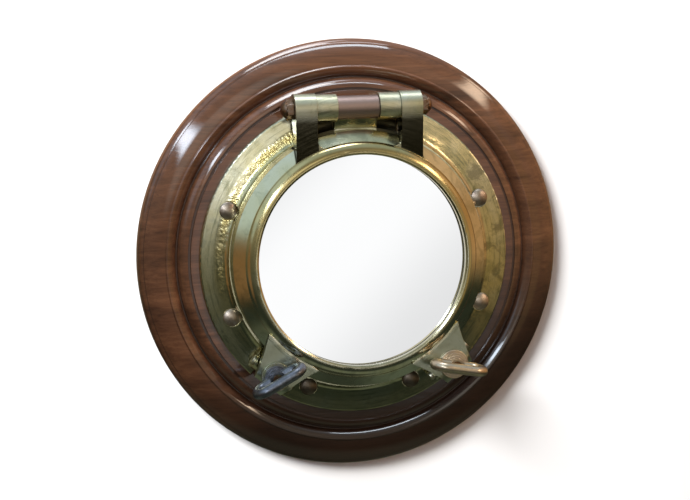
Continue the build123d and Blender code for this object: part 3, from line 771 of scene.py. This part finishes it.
class PORTHOLE_OT_stage(bpy.types.Operator):
    """Set up the pale wall and floor, the soft light and the camera"""

    bl_idname = "porthole.stage"
    bl_label = "Stage"

    def execute(self, context):
        stage = context.scene.porthole_stage
        self.backdrop(stage)
        self.surroundings()
        self.lamps(stage)
        self.camera(context.scene, stage)
        context.scene.view_settings.view_transform = "Standard"
        return {"FINISHED"}

    def backdrop(self, stage):
        """Pale wall behind the ring and floor below it, seen from their front sides only."""
        material, tree, shader = new_finish("pale_plaster")
        feed(tree, shader, Base_Color=stage.wall_white, Roughness=0.9)
        clear = put(tree, "ShaderNodeBsdfTransparent").outputs[0]
        behind = put(tree, "ShaderNodeNewGeometry").outputs["Backfacing"]
        seen = put(tree, "ShaderNodeMixShader", {0: behind, 1: shader.outputs[0], 2: clear}).outputs[0]
        tree.links.new(seen, tree.nodes["Material Output"].inputs["Surface"])
        wall_turn = Matrix.Rotation(math.radians(90), 4, "X")
        for name, place in (("wall", Matrix.Translation((0, stage.wall_gap, 0)) @ wall_turn),
                            ("floor", Matrix.Translation((0, 0, FLOOR_LEVEL)))):
            bm = bmesh.new()
            bmesh.ops.create_grid(bm, x_segments=1, y_segments=1, size=BACKDROP_HALF, matrix=place)
            mesh = bpy.data.meshes.new(name)
            bm.to_mesh(mesh)
            bm.free()
            mesh.materials.append(material)
            plane = bpy.data.objects.new(name, mesh)
            bpy.context.scene.collection.objects.link(plane)
            plane.visible_diffuse = plane.visible_glossy = plane.visible_transmission = False
            plane.visible_shadow = False

    def surroundings(self):
        """Soft studio all round: one light for gloss, an even one for matt surfaces, white for the mirror."""
        world = bpy.data.worlds.new("studio")
        bpy.context.scene.world = world
        world.use_nodes = True
        tree = world.node_tree
        direction = put(tree, "ShaderNodeTexCoord").outputs["Generated"]
        aside, _, up = put(tree, "ShaderNodeSeparateXYZ", {0: direction}).outputs
        light = STUDIO_NADIR
        for low, high, tint in STUDIO_BANDS:
            light = blend(tree, rise(tree, up, low, high), light, tint)
        warm_side = times(tree, rise(tree, aside, 0.6, 0.9), rise(tree, up, -0.35, -0.1))
        light = blend(tree, warm_side, light, WARM_SIDE)
        for *place, tint in STUDIO_SPOTS:
            light = blend(tree, self.spot(tree, direction, *place), light, tint)
        for *place, tint in STUDIO_STRIPS:
            light = blend(tree, self.strip(tree, direction, *place), light, tint)
        off_streak = size_of(tree, along(tree, direction, STREAK_ACROSS))
        paper = blend(tree, rise(tree, off_streak, *STREAK_EDGE), STREAK_WHITE, SHEET_WHITE)
        sheet = times(tree, self.spot(tree, direction, *SHEET_SPOT), rise(tree, up, *SHEET_FOOT))
        light = blend(tree, sheet, light, paper)
        fill = blend(tree, rise(tree, up, -0.4, 0.9), FILL_BELOW, FILL_ABOVE)
        fill = blend(tree, times(tree, rise(tree, aside, 0.1, 0.85), 0.9), fill, FILL_RIGHT)
        path = put(tree, "ShaderNodeLightPath").outputs
        light = blend(tree, path["Is Diffuse Ray"], light, fill)
        light = blend(tree, path["Is Singular Ray"], light, paper)
        studio = tree.nodes["Background"]
        tree.links.new(light, studio.inputs["Color"])
        plain = put(tree, "ShaderNodeBackground", {"Color": PLAIN_WHITE}).outputs[0]
        both = put(tree, "ShaderNodeMixShader",
                   {0: path["Is Camera Ray"], 1: studio.outputs[0], 2: plain}).outputs[0]
        tree.links.new(both, tree.nodes["World Output"].inputs["Surface"])

    def spot(self, tree, direction, azimuth, elevation, inner, outer):
        """Soft round spot of the studio: 1 inside the inner angle, 0 beyond the outer one."""
        a, e = math.radians(azimuth), math.radians(elevation)
        towards = (math.sin(a) * math.cos(e), -math.cos(a) * math.cos(e), math.sin(e))
        return rise(tree, along(tree, direction, towards),
                    math.cos(math.radians(outer)), math.cos(math.radians(inner)))

    def strip(self, tree, direction, across, azimuth, elevation, outer):
        """Narrow strip light along the circle square to a direction, faded out round its middle."""
        beside = rise(tree, size_of(tree, along(tree, direction, across)), *STRIP_EDGE)
        return times(tree, beside, self.spot(tree, direction, azimuth, elevation, STRIP_INNER, outer))

    def lamp(self, name, power, size, place, lit, shine=False):
        """Soft round lamp that looks at the middle of the port and lights only the things named."""
        data = bpy.data.lights.new(name, "AREA")
        data.shape, data.size, data.energy = "DISK", size, power
        lamp = bpy.data.objects.new(name, data)
        lamp.location = place
        lamp.rotation_euler = (-lamp.location).to_track_quat("-Z", "Y").to_euler()
        lamp.visible_camera, lamp.visible_glossy = False, shine
        bpy.context.scene.collection.objects.link(lamp)
        lamp.light_linking.receiver_collection = bpy.data.collections.new("lit_by_" + name)
        for thing in lit:
            lamp.light_linking.receiver_collection.objects.link(bpy.data.objects[thing])
        return lamp

    def lamps(self, stage):
        """Lamp high up and long strip for the wood, and a lamp at the upper left for the shadow on the wall."""
        wood = ["turned_wooden_ring"]
        self.lamp("wood_lamp", stage.wood_power, 0.8, (-0.20, -0.66, 1.55), wood, shine=True)
        strip = self.lamp("strip_lamp", stage.strip_power, 1.35, (0.10, -1.18, 1.52), wood, shine=True)
        strip.data.shape, strip.data.size_y, strip.data.color = "RECTANGLE", 0.22, (0.80, 0.90, 1.0)
        self.lamp("wall_lamp", stage.wall_power, 1.7, (-2.0, -2.0, 1.9), ["wall", "floor"])

    def camera(self, scene, stage):
        """Camera at the left and a little above, tipped by its roll."""
        a, e = stage.azimuth, stage.elevation
        back = Vector((math.sin(a) * math.cos(e), -math.cos(a) * math.cos(e), math.sin(e)))
        right = Vector((math.cos(a), math.sin(a), 0))
        up = back.cross(right)
        c, s = math.cos(stage.roll), math.sin(stage.roll)
        right, up = right * c - up * s, right * s + up * c
        aim = FRONT * AIM_HEIGHT + right * stage.aim_right + up * stage.aim_up
        data = bpy.data.cameras.new("camera")
        data.sensor_width, data.lens = SENSOR_WIDTH, stage.lens
        view = bpy.data.objects.new("camera", data)
        scene.collection.objects.link(view)
        turn = Matrix((right, up, back)).transposed().to_4x4()
        view.matrix_world = Matrix.Translation(aim + back * stage.distance) @ turn
        scene.camera = view


class PORTHOLE_PT_panel(bpy.types.Panel):
    """Lists the porthole's steps and its main values"""

    bl_idname = "PORTHOLE_PT_panel"
    bl_label = "Porthole"
    bl_space_type = "VIEW_3D"
    bl_region_type = "UI"
    bl_category = "Porthole"

    def draw(self, context):
        for step in STEPS:
            self.layout.operator(step.bl_idname)
        for group in (context.scene.porthole_shapes, context.scene.porthole_finishes,
                      context.scene.porthole_stage):
            box = self.layout.box()
            for key in group.__annotations__:
                box.prop(group, key)


STEPS = (
    PORTHOLE_OT_wooden_ring,
    PORTHOLE_OT_castings,
    PORTHOLE_OT_fasteners,
    PORTHOLE_OT_hinge,
    PORTHOLE_OT_pane,
    PORTHOLE_OT_dogs,
    PORTHOLE_OT_ring_nuts,
    PORTHOLE_OT_stage,
)
GROUPS = {
    "porthole_finishes": PortholeFinishes,
    "porthole_shapes": PortholeShapes,
    "porthole_stage": PortholeStage,
}


def register():
    """Registers the value groups, the steps and the panel."""
    for group in GROUPS.values():
        bpy.utils.register_class(group)
    for key, group in GROUPS.items():
        setattr(bpy.types.Scene, key, PointerProperty(type=group))
    for step in STEPS:
        bpy.utils.register_class(step)
    bpy.utils.register_class(PORTHOLE_PT_panel)


def unregister():
    """Takes out what register put in, in reverse."""
    bpy.utils.unregister_class(PORTHOLE_PT_panel)
    for step in reversed(STEPS):
        bpy.utils.unregister_class(step)
    for key in GROUPS:
        delattr(bpy.types.Scene, key)
    for group in reversed(list(GROUPS.values())):
        bpy.utils.unregister_class(group)


def main():
    """Registers the add-on and runs every step."""
    register()
    for step in STEPS:
        area, name = step.bl_idname.split(".")
        getattr(getattr(bpy.ops, area), name)()


if __name__ == "__main__":
    main()
